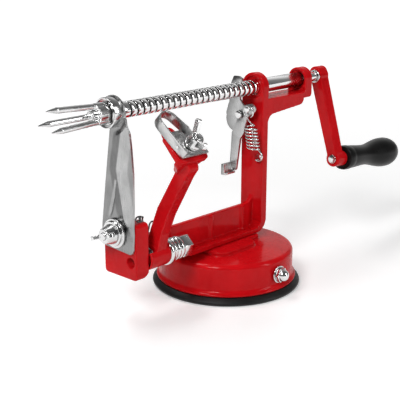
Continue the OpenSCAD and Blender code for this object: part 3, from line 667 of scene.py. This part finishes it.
for node, (name, width, slotName, finish) in edgeSet.items():
    newPiece(name, edgedMesh(node, width), node, finish)
print("fittings edged")


# pivot collar: a flange and a row of turned beads
collarSet = dict(flange=3.4 * mm, bodyR=7.4 * mm, bore=3.2 * mm, beads=3, beadSteps=8, dip=0.5 * mm,
                 edge=0.4 * mm, shade=50)


def collarMesh(s):
    low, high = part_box("pivot_collar")
    flangeR, reach = (high.y - low.y) / 2, high.x - low.x
    profile = [(s["bore"], 0), (flangeR - s["edge"], 0), (flangeR, s["edge"]),
               (flangeR, s["flange"] - s["edge"]), (flangeR - s["edge"], s["flange"])]
    count = s["beadSteps"] * s["beads"]
    for i in range(count + 1):
        dip = s["dip"] * (1 - abs(math.sin(math.pi * i / s["beadSteps"])))
        profile.append((s["bodyR"] - dip, s["flange"] + (reach - s["flange"]) * i / count))
    profile.append((s["bore"], reach))
    base = (low.x, (low.y + high.y) / 2, (low.z + high.z) / 2)
    return latheMesh("pivotCollar", profile, base, (1, 0, 0), angle=s["shade"])


newPiece("pivotCollar", collarMesh(collarSet), "pivot_collar", plated)

# handle grip, turned: millimetres, and the stretches as shares of its length
gripShape = dict(length=71, start=12, droop=5, foot=(95.2, -17.718, 70.616),
                 collar=9, neck=7.6, bulb=11.2, lip=0.5,
                 lipAt=(0.08, 0.11), neckAt=(0.12, 0.38), bulbAt=(0.38, 0.76), capFrom=0.78, tip=0.02,
                 bore=2.6, boreShare=0.7, boreTip=0.2, mouth=(0.4, 0.3),
                 rim=[(8.1, 0), (8.6, 0.35)], slices=72, crowd=1.35, steps=96)


def easeStep(u, a, b):
    return 0.5 - 0.5 * math.cos(math.pi * min(max((u - a) / (b - a), 0), 1))


def gripRadius(u, s):
    cap = math.sqrt(max(0, 1 - (max(0, u - s["capFrom"]) / (1 - s["capFrom"])) ** 2))
    r = s["collar"] - s["lip"] * easeStep(u, *s["lipAt"])
    r += (s["neck"] - s["collar"] + s["lip"]) * easeStep(u, *s["neckAt"])
    return (r + (s["bulb"] - s["neck"]) * easeStep(u, *s["bulbAt"])) * cap


def gripMesh(s):
    bore, deep = s["bore"], s["length"] * s["boreShare"]
    wide, low = s["mouth"]
    profile = [(0, deep), (bore, deep - s["boreTip"]), (bore, low), (bore + wide, 0)] + s["rim"]
    for i in range(len(s["rim"]), s["slices"]):
        u = 1 - (1 - i / s["slices"]) ** s["crowd"]  # closer together towards the round end
        profile.append((gripRadius(u, s), s["length"] * u))
    profile.append((0, s["length"] - s["tip"]))
    droop = math.radians(s["droop"])
    along = Vector((math.cos(droop), 0, -math.sin(droop)))
    base = (Vector(s["foot"]) + along * s["start"]) * mm
    return latheMesh("handleGrip", [(r * mm, d * mm) for r, d in profile], base, along, s["steps"])


newPiece("handleGrip", gripMesh(gripShape), "handle_grip", gripBlack)
print("grip turned")


# floor, pale to the eye and to the metal, with the object's shadow on it
floorSet = dict(size=14.0, drop=0.0001, tone=0.86, lift=0.3, farLift=0.94, near=0.25, far=1.3)


def floorPaper(s):
    paper = bpy.data.materials.new("floorPaper")
    paper.use_nodes = True
    paper.node_tree.nodes.clear()
    row = NodeRow(paper.node_tree)
    matt = row.add("ShaderNodeBsdfDiffuse")
    matt.inputs["Color"].default_value = (s["tone"], s["tone"], s["tone"], 1)
    path = row.add("ShaderNodeLightPath")
    seen = path.outputs["Is Camera Ray"]
    for ray in ("Is Glossy Ray", "Is Transmission Ray"):
        seen = row.math("MAXIMUM", seen, path.outputs[ray])
    away = row.add("ShaderNodeVectorMath", operation="LENGTH")
    row.join(row.add("ShaderNodeTexCoord").outputs["Object"], away.inputs[0])
    # the lamps don't reach the far floor
    lift = row.spread(away.outputs["Value"], s["lift"], s["farLift"], s["near"], s["far"])
    glow = row.add("ShaderNodeEmission")
    row.join(row.math("MULTIPLY", seen, lift), glow.inputs["Strength"])
    both = row.add("ShaderNodeAddShader")
    row.join(matt.outputs[0], both.inputs[0])
    row.join(glow.outputs[0], both.inputs[1])
    row.join(both.outputs[0], row.add("ShaderNodeOutputMaterial").inputs["Surface"])
    return paper


floorMesh = bpy.data.meshes.new("floorPlane")
half = floorSet["size"] / 2
corners = ((-half, -half), (half, -half), (half, half), (-half, half))
floorMesh.from_pydata([(x, y, -floorSet["drop"]) for x, y in corners], [], [(0, 1, 2, 3)])
floor = bpy.data.objects.new("floorPlane", floorMesh)
bpy.context.scene.collection.objects.link(floor)
floorMesh.materials.append(floorPaper(floorSet))


# studio: a pale backdrop behind the object, a dim room behind the camera, and three soft boxes
roomSet = dict(strength=0.6, back=(0.84, 0.42, 0.34),
               stops=[(0.0, 0.06), (0.45, 0.10), (0.75, 0.20), (0.92, 0.40), (0.97, 1.0), (1.0, 1.6)])
lampSet = [
    dict(name="keyBox", place=(-1.0, -0.35, 0.95), aim=(0, 0, 0.06), size=(0.4, 0.4), power=9.5),
    dict(name="sideBox", place=(0.55, -1.2, 0.6), aim=(0, 0, 0.07), size=(0.25, 0.8), power=5),
    dict(name="topBox", place=(-0.25, 0.4, 1.2), aim=(0, 0, 0.05), size=(0.8, 0.3), power=6.5),
]


def studioRoom(s):
    room = bpy.data.worlds.new("studioRoom")
    room.use_nodes = True
    room.node_tree.nodes.clear()
    row = NodeRow(room.node_tree)
    toward = row.add("ShaderNodeVectorMath", operation="DOT_PRODUCT")
    toward.inputs[1].default_value = s["back"]
    row.join(row.add("ShaderNodeTexCoord").outputs["Generated"], toward.inputs[0])
    level = row.spread(toward.outputs["Value"], 0, 1, -1, 1)
    glow = row.add("ShaderNodeBackground")
    glow.inputs["Strength"].default_value = s["strength"]
    row.join(row.ramp(level, s["stops"]), glow.inputs["Color"])
    row.join(glow.outputs[0], row.add("ShaderNodeOutputWorld").inputs["Surface"])
    return room


bpy.context.scene.world = studioRoom(roomSet)
for s in lampSet:
    lamp = bpy.data.lights.new(s["name"], "AREA")
    lamp.shape = "RECTANGLE"
    lamp.size, lamp.size_y = s["size"]
    lamp.energy = s["power"]
    light = bpy.data.objects.new(s["name"], lamp)
    light.location = s["place"]
    light.rotation_euler = (Vector(s["aim"]) - Vector(s["place"])).to_track_quat("-Z", "Y").to_euler()
    bpy.context.scene.collection.objects.link(light)
print("studio lit")
